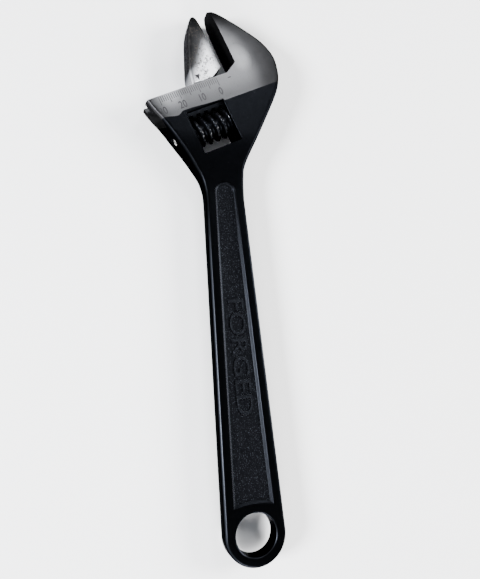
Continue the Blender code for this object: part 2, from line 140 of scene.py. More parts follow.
class SlideSizes(bpy.types.PropertyGroup):
    """The movable jaw, its rack and what it slides in."""

    gap: length("Gap", 0.3, "Clearance between pieces that touch")
    opening: length("Opening", 8.0, "Between the gripping faces at rest")
    rack_radius: length("Rack radius", 5.5, "Radius of the round rack")
    rack_below_rail: length("Rack below rail", 9.5, "From the rail's top to the rack's axis")
    rack_behind_face: length("Rack behind face", 29.0, "From the gripping face to the rack's end")
    rack_past_face: length("Rack past face", 7.3, "From the gripping face to the rack's inner end")
    web_thickness: length("Web thickness", 4.0, "Thickness of the web that carries the jaw")
    foot: length("Jaw foot", 16.4, "Width of the movable jaw along the rail")
    chamfer: length("Jaw chamfer", 6.0, "Length of the sloped corner at the jaw's foot")
    web_setback: length("Web setback", 0.5, "How far the web is set in from the foot's ends")
    edge_inset: length("Jaw edge inset", 1.1, "How far the jaw's back edge is rounded in")
    edge_depth: length("Jaw edge depth", 1.5, "How far the jaw's back edge is rounded down")


class WormSizes(bpy.types.PropertyGroup):
    """The worm, its window, its pin and its spring."""

    radius: length("Worm radius", 7.0, "Outer radius of the worm")
    pitch: length("Pitch", 4.0, "Distance between the thread's turns")
    crest: length("Crest", 1.4, "Width of the thread's crest")
    flank: length("Flank", 0.9, "How much wider the thread is at its root")
    mesh_depth: length("Mesh depth", 2.0, "How deep the thread and the rack's teeth engage")
    end_gap: length("End gap", 0.35, "Between the worm's ends and the window")
    window_start: length("Window start", 14.0, "From the fixed jaw's face to the window")
    window_width: length("Window width", 19.6, "Width of the window along the rail")
    window_top: length("Window top", 15.0, "From the throat down to the window's upper side")
    window_under: length("Window under", 4.8, "From the worm down to the window's lower side")
    notches: count("Notches", 18, "Finger notches round the thread")
    notch_depth: length("Notch depth", 0.2, "Depth of the finger notches")
    pin_radius: length("Pin radius", 2.1, "Radius of the pin that the worm turns on")
    pin_seat: length("Pin seat", 6.0, "How far the pin goes past the window")
    pin_mouth: length("Pin mouth", 42.9, "Where the pin's seat comes out of the head's side")
    pin_recess: length("Pin recess", 0.5, "How far the pin's end lies inside its seat")
    wire_radius: length("Wire radius", 0.35, "Radius of the spring's wire")
    spring_seat: length("Spring seat", 5.2, "Depth of the worm's counterbore for the spring")
    spring_turns: count("Spring turns", 4, "Turns of the spring")


class MarkSizes(bpy.types.PropertyGroup):
    """The scale on the rail, its pointer and the raised word on the handle."""

    zero: length("Zero", 12.6, "Zero mark from the throat, and pointer's tip from the jaw's face")
    steps: count("Steps", 30, "Number of millimetre steps on the scale")
    tick_width: length("Tick width", 0.3, "Width of a scale mark")
    tick_length: length("Tick length", 2.6, "Length of a millimetre mark")
    long_tick: length("Long tick", 4.0, "Length of each fifth mark")
    tick_top: length("Tick top", 4.1, "From the throat down to the marks' upper ends")
    figure_height: length("Figure height", 3.6, "Height of the scale's figures")
    figure_down: length("Figure place", 10.9, "From the throat down to the figures' middle")
    relief: length("Relief", 0.02, "How far the marks stand proud of the ground face")
    cast_height: length("Cast word height", 7.6, "Height of the raised word on the handle")
    cast_middle: length("Cast word place", 77.0, "From the hanging hole to the raised word's middle")
    cast_relief: length("Cast word relief", 0.35, "How far the word stands up from the recess")
    cast_stretch: amount("Cast word stretch", 1.3, "How much wider than usual the word's letters are")


class Finishes(bpy.types.PropertyGroup):
    """Colours and gloss of the wrench's materials."""

    black: colour("Black", (0.0027, 0.0030, 0.0037), "Black coating on the forging")
    black_rough: amount("Black roughness", 0.34, "Roughness of the black coating")
    steel: colour("Steel", (0.48, 0.485, 0.50), "Ground steel")
    # Partly the steel's own dark colour and partly painted shade on the head's sides and edges and on
    # the movable jaw's sides.
    dark_steel: colour("Dark steel", (0.020, 0.020, 0.021), "Forged edges left dark")
    steel_rough: amount("Steel roughness", 0.36, "Roughness of the ground steel")
    ink: colour("Mark", (0.008, 0.008, 0.009), "Etched scale marks")
    pin: colour("Pin", (0.62, 0.61, 0.59), "Bright turned steel of the pin")
    wire: colour("Wire", (0.42, 0.42, 0.43), "Drawn wire of the spring")


class StageSettings(bpy.types.PropertyGroup):
    """Floor, lights and camera."""

    floor: colour("Floor", (0.86, 0.86, 0.86), "Colour of the floor")
    floor_size: length("Floor size", 3000.0, "Width of the floor")
    camera_x: length("Camera along", 74.886, "Camera's place along the handle, from the hanging hole")
    camera_y: length("Camera across", 75.133, "Camera's place across the handle")
    camera_z: length("Camera height", 258.65, "Camera's height over the mid-plane")
    aim_x: length("Aim along", 107.45, "Where the camera points on the mid-plane, along the handle")
    aim_y: length("Aim across", -4.05, "Where the camera points on the mid-plane, across the handle")
    roll: bpy.props.FloatProperty(
        name="Roll", description="How far the camera is turned about its own axis",
        default=math.radians(-5.26), subtype="ANGLE",
    )
    focal: amount("Focal length", 36.69, "Camera's focal length in millimetres")
    room_light: amount("Room light", 0.5, "Strength of the even light from all sides")


# The head's sides and the movable jaw's back, in mm, as in the design
LIP_SIDE = ((47.0, 8.5), (44.9, 15), (42.9, 23.5), (41.0, 33), (40.3, 38.5))
BACK_SIDE = ((16.6, 46.0), (3.1, 34.7), (-11.3, 22.3), (-16.6, 16.4), (-19.6, 10.2), (-20.6, 2.6),
             (-18.1, -5.5), (-12.7, -13.7), (-6.6, -21.9))
# Shares of the jaws' length, from the throat, and of their full thickness there
JAW_STATIONS = ((0.42, 1.0), (0.55, 0.988), (0.65, 0.968), (0.73, 0.94), (0.8, 0.905), (0.86, 0.855),
                (0.91, 0.785), (0.95, 0.69), (0.98, 0.56), (1.0, 0.4))
JAW_BACK = ((15.6, 0), (14.6, 3.8), (12.4, 8.8), (10.1, 13.8), (7.8, 18.8), (5.2, 23.6))


# Name, place from the wrench's middle in metres, width, power in watts and tint
LAMPS = (
    ("left_box", Vector((-0.10, 0.95, 0.60)), 0.35, 55.0, (0.95, 0.97, 1.0)),
    ("right_box", Vector((0.10, -1.05, 0.60)), 0.60, 45.0, (1.0, 0.99, 0.97)),
    ("low_box", Vector((-1.10, 0.10, 0.60)), 0.60, 30.0, (1.0, 1.0, 1.0)),
    ("head_box", Vector((0.48, -0.23, 0.67)), 0.22, 3.0, (0.97, 0.98, 1.0)),
)


def settings():
    """All the property groups, by short names."""
    scene = bpy.context.scene
    return (scene.wrench_body, scene.wrench_slide, scene.wrench_worm, scene.wrench_marks,
            scene.wrench_finish)


def throat():
    body = bpy.context.scene.wrench_body
    return HOLE_CENTRE + Vector((body.throat_x, body.throat_y, 0))


def head_matrix():
    """Turns head-frame places (u, d, z) into world places."""
    turn = Matrix((ALONG, DOWN, FRONT)).transposed().to_4x4()
    return Matrix.Translation(throat()) @ turn


def on_head(u, d):
    """A head-frame place in the world's plane."""
    return (head_matrix() @ Vector((u, d, 0))).to_2d()


def on_handle(x, y):
    """A place measured from the hanging hole along and across the handle."""
    return Vector((HOLE_CENTRE.x + x, HOLE_CENTRE.y + y))


def rack_down():
    body, slide = settings()[:2]
    return body.rail_depth + slide.rack_below_rail


def worm_down():
    slide, worm = settings()[1:3]
    return rack_down() + slide.rack_radius + worm.radius - worm.mesh_depth


# Shapes

def ease(share):
    share = np.clip(share, 0.0, 1.0)
    return share * share * (3 - 2 * share)


def smooth_through(points, steps=10):
    """Points on a Catmull-Rom curve through the given ones, without the last."""
    padded = [2 * points[0] - points[1], *points, 2 * points[-1] - points[-2]]
    found = []
    for a, b, c, d in zip(padded, padded[1:], padded[2:], padded[3:]):
        for step in range(steps):
            t = step / steps
            found.append(
                0.5 * (2 * b + (c - a) * t + (2 * a - 5 * b + 4 * c - d) * t**2
                       + (3 * b - a - 3 * c + d) * t**3)
            )
    return found


def neck_x():
    body = bpy.context.scene.wrench_body
    return body.throat_x - body.neck_setback


def side_tangent():
    """Angle at which the handle's straight sides touch its round end."""
    body = bpy.context.scene.wrench_body
    reach = math.hypot(neck_x(), body.neck_half_width)
    return math.atan2(body.neck_half_width, neck_x()) + math.acos(body.end_radius / reach)


def handle_half_width(x):
    body = bpy.context.scene.wrench_body
    start = body.end_radius * Vector((math.cos(side_tangent()), math.sin(side_tangent())))
    share = (x - start.x) / (neck_x() - start.x)
    return start.y + (body.neck_half_width - start.y) * share


def body_outline():
    """The forging's outline anticlockwise, and each edge's rounding, 1 forged and 0 machined."""
    body = bpy.context.scene.wrench_body
    machined = [
        on_head(0, -body.jaw_length),
        on_head(0, 0),
        on_head(body.throat_chamfer, body.rail_depth),
    ]
    neck = on_handle(neck_x(), body.neck_half_width)
    lip_side = smooth_through([
        on_head(body.rail_length, body.rail_depth),
        *[on_head(u * MM, d * MM) for u, d in LIP_SIDE],
        neck + Vector((10.8 * MM, 1.7 * MM)),
        neck + Vector((5.2 * MM, 0.3 * MM)),
        neck,
    ])
    turn = side_tangent()
    steps = 72
    angles = [turn + 2 * (math.pi - turn) * step / steps for step in range(steps + 1)]
    handle_end = [
        on_handle(body.end_radius * math.cos(angle), body.end_radius * math.sin(angle))
        for angle in angles
    ]
    tip = on_head(-body.tip_width, -body.jaw_length)
    back_side = smooth_through([
        on_handle(neck_x(), -body.neck_half_width),
        on_handle(neck_x() + 10 * MM, -body.neck_half_width - 0.5 * MM),
        *[on_head(u * MM, d * MM) for u, d in BACK_SIDE],
        tip,
    ])
    outline = machined + lip_side + [neck] + handle_end + back_side + [tip]
    to_tip = narrowing(len(outline) - len(machined) - 1, body.tip_width / 2 / body.edge_inset)
    return outline, [0.0] * len(machined) + to_tip + [0.0]


def narrowing(edges, tip_share, over=14):
    """A rounding of 1 for each edge, easing to tip_share over the last edges before a tip."""
    return [1 + (tip_share - 1) * float(ease(1 - (edges - 1 - i) / over)) for i in range(edges)]


def inset_loop(outline, insets):
    """Each corner moved in, so that every edge lies at its own inset."""
    moved = []
    for index, point in enumerate(outline):
        before = (point - outline[index - 1]).normalized()
        after = (outline[(index + 1) % len(outline)] - point).normalized()
        normal_a, normal_b = Vector((-before.y, before.x)), Vector((-after.y, after.x))
        inset_a, inset_b = insets[index - 1], insets[index]
        cross = normal_a.x * normal_b.y - normal_a.y * normal_b.x
        if abs(cross) < 0.3:
            between = (normal_a + normal_b) / 2
            moved.append(point + between / between.length_squared * (inset_a + inset_b) / 2)
            continue
        shift = Vector((inset_a * normal_b.y - inset_b * normal_a.y,
                        inset_b * normal_a.x - inset_a * normal_b.x)) / cross
        moved.append(point + shift)
    return moved


def loft(mesh, rings):
    """Walls between rings of the same number of points."""
    for low, high in zip(rings, rings[1:]):
        for i in range(len(low)):
            j = (i + 1) % len(low)
            mesh.faces.new((low[i], low[j], high[j], high[i]))


def forged_plate(outline, forged, inset, depth, half, middle=0.0, steps=6):
    """A closed plate with quarter-round edges where forged is 1."""
    mesh = bmesh.new()
    rings = []
    for side in (-1, 1):
        turns = [math.pi / 2 * step / steps for step in range(steps + 1)]
        for turn in (reversed(turns) if side < 0 else turns):
            loop = inset_loop(outline, [inset * share * (1 - math.cos(turn)) for share in forged])
            z = half - depth + depth * math.sin(turn)
            rings.append([mesh.verts.new((p.x, p.y, middle + side * z)) for p in loop])
    loft(mesh, rings)
    mesh.faces.new(reversed(rings[0]))
    mesh.faces.new(rings[-1])
    return mesh


def grid_cut(mesh, origin, across, low, high, spacing):
    """Cuts the mesh by parallel planes, so that its flat faces can be shaped."""
    for step in range(int((high - low) / spacing) + 1):
        place = origin + across * (low + spacing * step)
        geometry = mesh.verts[:] + mesh.edges[:] + mesh.faces[:]
        bmesh.ops.bisect_plane(mesh, geom=geometry, plane_co=place, plane_no=across, dist=1e-7)


def set_thickness(mesh, half, depth, wanted, middle):
    """Moves the plate's faces so that half its thickness is wanted, keeping the round edges."""
    core = half - depth
    for vert, target in zip(mesh.verts, wanted):
        level = abs(vert.co.z - middle)
        side = 1 if vert.co.z > middle else -1
        if level >= core:
            vert.co.z = middle + side * (target - (half - level))
        else:
            vert.co.z = middle + (vert.co.z - middle) * (target - depth) / core


def jaw_taper(beyond, jaw_length):
    """Half the jaws' thickness at a distance beyond the throat."""
    at, part = zip(*JAW_STATIONS)
    return HALF_HEAD * np.interp(beyond / jaw_length, at, part)


def distance_to(points, path):
    """Distance of each point to a path of short straight pieces."""
    path = np.array([[p.x, p.y] for p in path])
    nearest = np.full(len(points), 1e9)
    for a, b in zip(path, path[1:]):
        run = b - a
        share = np.clip((points - a) @ run / max(run @ run, 1e-18), 0, 1)
        nearest = np.minimum(nearest, np.linalg.norm(points - a - share[:, None] * run, axis=1))
    return nearest


def plan(mesh):
    return np.array([[vert.co.x, vert.co.y] for vert in mesh.verts])


def head_places(points):
    """The points' u and d."""
    away = points - np.array(throat().to_2d())
    return away @ np.array(ALONG.to_2d()), away @ np.array(DOWN.to_2d())


def prism_rings(loops, levels):
    """A closed solid through loops of the same number of points, at rising levels."""
    mesh = bmesh.new()
    rings = [[mesh.verts.new((p.x, p.y, z)) for p in loop] for loop, z in zip(loops, levels)]
    loft(mesh, rings)
    mesh.faces.new(reversed(rings[0]))
    mesh.faces.new(rings[-1])
    return mesh


def turned(profile, steps=96):
    """A solid turned about local X from (x, radius) pairs, with flat ends."""
    mesh = bmesh.new()
    rings = []
    for x, radius in profile:
        angles = [2 * math.pi * step / steps for step in range(steps)]
        rings.append([mesh.verts.new((x, radius * math.cos(a), radius * math.sin(a)))
                      for a in angles])
    loft(mesh, rings)
    mesh.faces.new(reversed(rings[0]))
    mesh.faces.new(rings[-1])
    return mesh


def flared_levels(radius, half, over, steps=5):
    """(flare, z) pairs of a cutter whose mouth rounds the rim it leaves at z = +-half."""
    levels = []
    turns = [math.pi / 2 * step / steps for step in range(steps + 1)]
    for turn in turns:
        levels.append((radius * (1 - math.cos(turn)), half - radius + radius * math.sin(turn)))
    levels.append((radius + over, half + over))
    return [(flare, -z) for flare, z in reversed(levels)] + levels


def new_piece(name, mesh, matrix=None):
    """An object from a bmesh, with its place in its mesh and its faces out."""
    if matrix is not None:
        mesh.transform(matrix)
    bmesh.ops.recalc_face_normals(mesh, faces=mesh.faces)
    if mesh.calc_volume(signed=True) < 0:
        bmesh.ops.reverse_faces(mesh, faces=mesh.faces)
    data = bpy.data.meshes.new(name)
    mesh.to_mesh(data)
    mesh.free()
    piece = bpy.data.objects.new(name, data)
    bpy.context.scene.collection.objects.link(piece)
    return piece


def apply_modifiers(piece):
    """Turns the piece into the plain mesh that its modifiers make."""
    graph = bpy.context.evaluated_depsgraph_get()
    graph.update()
    made = bpy.data.meshes.new_from_object(piece.evaluated_get(graph))
    piece.modifiers.clear()
    piece.data = made


def combine(piece, others, operation="DIFFERENCE"):
    """Cuts or joins the other solids in turn, and removes them."""
    for other in others:
        modifier = piece.modifiers.new(other.name, "BOOLEAN")
        modifier.object = other
        modifier.operation = operation
        modifier.solver = "EXACT"
    apply_modifiers(piece)
    for other in others:
        bpy.data.objects.remove(other)


def smooth(piece, degrees):
    piece.data.shade_smooth()
    piece.data.set_sharp_from_angle(angle=math.radians(degrees))


def hand_over(piece, finish, body, slot, *nodes):
    """Gives the piece its material and says what it rides on and stands for."""
    piece.data.materials.clear()
    piece.data.materials.append(finish)
    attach(piece, body)
    if nodes:
        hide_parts(*nodes)


# Materials

class Signal:
    """A shader value. Python's operators on it add Math nodes."""

    def __init__(self, tree, socket):
        self.tree = tree
        self.socket = socket

    def math(self, operation, *values):
        node = self.tree.nodes.new("ShaderNodeMath")
        node.operation = operation
        for entry, value in zip(node.inputs, values):
            connect(self.tree, value, entry)
        return Signal(self.tree, node.outputs[0])

    def __add__(self, other):
        return self.math("ADD", self, other)

    __radd__ = __add__

    def __mul__(self, other):
        return self.math("MULTIPLY", self, other)

    __rmul__ = __mul__

    def __sub__(self, other):
        return self.math("SUBTRACT", self, other)

    def __rsub__(self, other):
        return self.math("SUBTRACT", other, self)

    def __truediv__(self, other):
        return self.math("DIVIDE", self, other)

    def __pow__(self, other):
        return self.math("POWER", self, other)

    def __abs__(self):
        return self.math("ABSOLUTE", self)

    def least(self, other):
        return self.math("MINIMUM", self, other)

    def most(self, other):
        return self.math("MAXIMUM", self, other)

    def step(self, low, high):
        """0 below low and 1 above high, with a smooth change between; low may be above high."""
        node = self.tree.nodes.new("ShaderNodeMapRange")
        node.interpolation_type = "SMOOTHSTEP"
        falling = low > high
        for entry, value in zip(node.inputs, (self, min(low, high), max(low, high),
                                              float(falling), float(not falling))):
            connect(self.tree, value, entry)
        return Signal(self.tree, node.outputs[0])


def connect(tree, value, entry):
    if isinstance(value, Signal):
        tree.links.new(value.socket, entry)
    else:
        entry.default_value = value


class Finish:
    """One material and its nodes."""

    def __init__(self, name):
        self.material = bpy.data.materials.new(name)
        self.material.use_nodes = True
        self.tree = self.material.node_tree
        self.shader = self.tree.nodes["Principled BSDF"]
        self.place = self.node("ShaderNodeTexCoord", output="Object")
        self.normal = self.node("ShaderNodeTexCoord", output="Normal")

    def node(self, kind, settings=None, inputs=None, output=0):
        """A node of any kind: its settings first, then the values or links of its sockets."""
        made = self.tree.nodes.new(kind)
        for name, value in (settings or {}).items():
            setattr(made, name, value)
        for name, value in (inputs or {}).items():
            connect(self.tree, value, made.inputs[name])
        return Signal(self.tree, made.outputs[output])

    def along(self, direction, origin=Vector((0, 0, 0))):
        """Distance of the surface from origin, measured in that direction, in millimetres."""
        dot = self.node("ShaderNodeVectorMath", {"operation": "DOT_PRODUCT"},
                        {0: self.place, 1: direction / MM}, "Value")
        return dot - direction.dot(origin) / MM

    def facing(self, direction):
        return self.node("ShaderNodeVectorMath", {"operation": "DOT_PRODUCT"},
                         {0: self.normal, 1: direction}, "Value")

    def stretched(self, u, d, z):
        """Object places scaled along the head's own axes, for grain with a direction."""
        parts = [self.along(axis) * scale for axis, scale in ((ALONG, u), (DOWN, d), (FRONT, z))]
        return self.node("ShaderNodeCombineXYZ", None, dict(enumerate(parts)))

    def noise(self, scale, detail=2.0, roughness=0.5, vector=None, output="Fac"):
        """Noise with scale lumps for each millimetre, or on a vector that has its own scale."""
        entries = {"Vector": vector or self.place, "Scale": 1.0 if vector else scale / MM,
                   "Detail": detail, "Roughness": roughness}
        return self.node("ShaderNodeTexNoise", None, entries, output)

    def cells(self, scale):
        return self.node("ShaderNodeTexVoronoi", None,
                         {"Vector": self.place, "Scale": scale / MM}, "Distance")

    def mix(self, share, a, b):
        node = self.tree.nodes.new("ShaderNodeMix")
        node.data_type = "RGBA"
        for entry, value in ((node.inputs[0], share), (node.inputs[6], a), (node.inputs[7], b)):
            if not isinstance(value, (Signal, float)):
                value = (*value[:3], 1.0)
            connect(self.tree, value, entry)
        return Signal(self.tree, node.outputs[2])

    def relief(self, height, distance):
        """A Bump node: height is a share of distance, which is in millimetres."""
        entries = {"Height": height, "Distance": distance * MM, "Strength": 1.0}
        return self.node("ShaderNodeBump", None, entries, "Normal")

    def set(self, **values):
        """Values or links of the shader's own sockets, named with _ for a space."""
        for name, value in values.items():
            if isinstance(value, (tuple, Vector)) or hasattr(value, "r"):
                value = (*value[:3], 1.0)
            connect(self.tree, value, self.shader.inputs[name.replace("_", " ")])
        return self.material


def ground_steel(finish, steel_rough, polish_and_sheen):
    """Colour, roughness and height of a ground face: fine grain along d, blotches and pits.

    polish is 0 where the steel is dull and dark and 1 where it is bright.
    """
    colours = bpy.context.scene.wrench_finish
    grain = finish.noise(0, 3.0, 0.6, finish.stretched(5.5, 0.7, 2.0))
    fine = finish.noise(4.5, 2.0, 0.6)
    blotch = finish.noise(0.22, 3.0, 0.6)
    pits = finish.noise(1.7, 2.0, 0.5).step(0.66, 0.74)
    uneven = 0.70 + 0.30 * grain + 0.16 * fine + 0.14 * blotch - 0.35 * pits
    # Painted reflection and shade: the colour runs from dark to bright steel with the last argument.
    bright = finish.mix((polish_and_sheen * uneven).least(1.0), (0.010, 0.010, 0.0105), colours.steel)
    rough = steel_rough + 0.14 * (grain - 0.5) + 0.10 * (blotch - 0.5) + 0.2 * pits
    height = 0.5 * grain + 0.35 * fine - 0.6 * pits
    return bright, rough, height


def head_polish(u, d):
    """How bright the head's ground face is at a place, with u and d in millimetres.

    It is dull towards the fixed jaw's back and tip, and bright beside the throat and near the
    rail's open end.
    """
    tip = (-1 * d - 2.0).most(0.0) / 14.0
    inward = u - 5.0 * tip ** 1.5
    # Painted highlight beside the throat.
    beside = (1 - ((u + 3.5) * (u + 3.5) + 0.5 * (d + 1.0) * (d + 1.0)) / 30.0).most(0.0)
    polish_and_sheen = 0.004 + 0.022 * inward.step(-20.0, -8.0) + 0.125 * inward.step(-12.0, -1.5)
    polish_and_sheen = polish_and_sheen * (1.0 - 0.5 * d.step(4.0, 15.0)) + 0.10 * beside * d.step(8.0, 2.0)
    # Painted highlight towards the rail's open end, and painted shade at the end itself.
    painted_end_highlight = u.step(30.0, 36.5)
    polish_and_sheen = polish_and_sheen * (1.0 + 1.3 * painted_end_highlight * d.step(13.0, 4.5) + 0.3 * painted_end_highlight)
    return polish_and_sheen * (1.0 - 0.82 * u.step(38.5, 46.5))


def jaw_polish(w, d):
    """The same for the movable jaw, with w measured from its gripping face."""
    outward = w + 0.9 * (-1 * d - 3.0).most(0.0) - 1.5 * (d + 5.0).most(0.0)
    return (0.04 + 0.96 * outward.step(16.5, 6.5) ** 1.6) * (0.12 + 0.88 * w.step(-0.5, 3.6))


def body_finish():
    """Black coating, with the head ground bright above a line and dark at its forged edges."""
    body, _, _, _, colours = settings()
    finish = Finish("forged_black")
    u, d = finish.along(ALONG, throat()), finish.along(DOWN, throat())
    z = abs(finish.along(FRONT, HOLE_CENTRE))
    x = finish.along(Vector((1, 0, 0)), HOLE_CENTRE)
    flat = abs(finish.facing(FRONT))
    # The lower edge of the ground face: straight at the back, a little higher over the window,
    # and a step down past the window's end.
    line = (15.5 - 1.0 * u.step(13.2, 14.2) - 1.0 * u.step(14.0, 34.0)
            + 1.3 * u.step(34.2, 37.4) - 1.2 * u.step(37.6, 44.0))
    ragged = 0.25 * (finish.noise(1.6, 2.0) - 0.5)
    above = (d + ragged - line).step(0.12, -0.12)
    ground = above * flat.step(0.25, 0.75).least(flat.step(0.90, 0.98).most(u.step(44.0, 38.0)))
    edge = above * (1 - ground)
    steel, steel_rough, steel_height = ground_steel(finish, colours.steel_rough,
                                                    head_polish(u, d))

    lump = finish.noise(0.9, 3.0, 0.55)
    orange_peel = finish.noise(0.35, 2.0, 0.5)
    cast = finish.noise(2.1, 3.0, 0.7)
    neck = neck_x() / MM
    rim_level = body.handle_thickness / 2 / MM
    floor_level = rim_level - body.panel_depth / MM
    floor = (z.step(rim_level - 0.2, rim_level - 0.5) * flat.step(0.8, 0.95)
             * x.step(neck + 12, neck + 8) * z.step(floor_level - 0.9, floor_level - 0.4))
    dust = finish.cells(0.9).step(0.10, 0.02) * finish.noise(0.5, 1.0).step(0.50, 0.62)
    coat = finish.mix(floor, colours.black, tuple(1.5 * c for c in colours.black))
    # Painted highlight: the raised word's top is painted lighter, standing in for the glints on it.
    word = floor * z.step(floor_level + 0.1, floor_level + 0.25)
    coat = finish.mix(word, coat, tuple(2.6 * c for c in colours.black))
    glints = floor * finish.noise(1.9, 3.0, 0.6).step(0.56, 0.66)
    coat = finish.mix(glints, coat, tuple(8.0 * c for c in colours.black))
    # Painted highlight: the handle's rounded rims are painted lighter, standing in for the lamps'
    # bright crest lines.
    rims = (1 - floor) * flat.step(0.2, 0.5) * flat.step(0.985, 0.85) * x.step(neck + 1, neck - 29)
    coat = finish.mix(rims, coat, tuple(4.5 * c for c in colours.black))
    black = finish.mix(dust * 0.6, coat, (0.05, 0.05, 0.055))
    # Painted shade: the head's forged edges and sides are painted dark steel, partly their own colour
    # and partly standing in for shade.
    dark_edges_and_shade = finish.mix(edge, black, colours.dark_steel)
    colour_all = finish.mix(ground, dark_edges_and_shade, steel)
    black_rough = (colours.black_rough + 0.12 * (lump - 0.5) + 0.10 * (orange_peel - 0.5)
                   + 0.10 * floor + 0.1 * edge)
    rough = black_rough * (1 - ground) + steel_rough * ground
    height = (steel_height * ground * 0.05 + (1 - ground) * (0.10 * lump + 0.06 * orange_peel)
              + floor * (0.9 * cast))
    return finish.set(
        Base_Color=colour_all, Roughness=rough, Metallic=1.0, Specular_Tint=(0.12, 0.12, 0.13),
        Normal=finish.relief(height, 0.22),
    )


def jaw_finish():
    """The movable jaw: ground faces with pits, dark forged back and a bright rack."""
    body, slide, _, _, colours = settings()
    finish = Finish("ground_steel")
    flat = abs(finish.facing(FRONT))
    d = finish.along(DOWN, throat())
    w = finish.along(ALONG, throat()) - slide.opening / MM
    steel, steel_rough, steel_height = ground_steel(finish, colours.steel_rough,
                                                    jaw_polish(w, d))
    pits = (finish.noise(1.3, 3.0, 0.7).step(0.53, 0.62)
            * finish.noise(0.2, 2.0, 0.5).step(0.40, 0.52))
    pitted = finish.mix(pits * 0.85, steel, (0.06, 0.055, 0.05))
    face = flat.step(0.2, 0.8)
    rack = d.step(body.rail_depth / MM + 0.5, body.rail_depth / MM + 1.5)
    # The jaw's sides and gripping face are painted dark steel, partly their own colour and partly
    # painted shade.
    side = (1 - face) * (1 - 0.9 * w.step(8.0, 11.0) * d.step(-11.0, -2.0))
    colour_all = finish.mix(side * 0.95, pitted, colours.dark_steel)
    # Painted shade: the rack is painted near black, partly its own dark oxide and partly standing in
    # for the shade it lies in inside the head.
    colour_all = finish.mix(rack, colour_all, tuple(2.5 * c for c in colours.black))
    rough = steel_rough + 0.06 * side + 0.25 * pits
    height = steel_height * 0.05 - pits * 0.12 + side * 0.06 * finish.noise(1.2, 3.0)
    return finish.set(Base_Color=colour_all, Roughness=rough, Metallic=1.0,
                      Specular_Tint=(0.25, 0.25, 0.26), Normal=finish.relief(height, 0.22))


def worm_finish():
    """Black worm whose crests are worn a little brighter."""
    slide, worm, _, colours = settings()[1:]
    finish = Finish("worm_black")
    down, out = finish.along(DOWN, WORM_CENTRE), finish.along(FRONT, WORM_CENTRE)
    from_axis = (down * down + out * out) ** 0.5
    crest = from_axis.step(worm.radius / MM - 0.22, worm.radius / MM - 0.02)
    wear = crest * finish.noise(0.9, 3.0, 0.6).step(0.50, 0.72)
    colour_all = finish.mix(wear * 0.5, tuple(2.0 * c for c in colours.black), (0.10, 0.10, 0.105))
    rough = 0.30 + 0.14 * finish.noise(1.5, 2.0) - 0.08 * wear
    return finish.set(Base_Color=colour_all, Roughness=rough, Metallic=1.0,
                      Normal=finish.relief(finish.noise(1.4, 3.0, 0.6), 0.05),
                      Specular_Tint=(0.3, 0.3, 0.31))


def bright_finish(name, steel, roughness, axis_grain):
    """Turned or drawn steel with fine rings across its axis."""
    finish = Finish(name)
    rings = finish.noise(0, 2.0, 0.6, finish.stretched(axis_grain, 0.4, 0.4))
    stain = finish.noise(0.8, 3.0, 0.6)
    tone = finish.mix((0.25 + 0.9 * rings * stain).least(1.0), tuple(0.45 * c for c in steel), steel)
    return finish.set(Base_Color=tone, Roughness=roughness + 0.15 * (rings - 0.5), Metallic=1.0,
                      Normal=finish.relief(rings, 0.015))


def mark_finish():
    """Etched marks: dark, matt and a little uneven."""
    colours = bpy.context.scene.wrench_finish
    finish = Finish("etched_marks")
    uneven = finish.noise(3.0, 2.0, 0.6)
    tone = finish.mix(uneven.step(0.35, 0.75), colours.ink, tuple(2.6 * c for c in colours.ink))
    return finish.set(Base_Color=tone, Roughness=0.55 + 0.2 * uneven, Metallic=0.4,
                      Normal=finish.relief(uneven, 0.02))


# Pieces

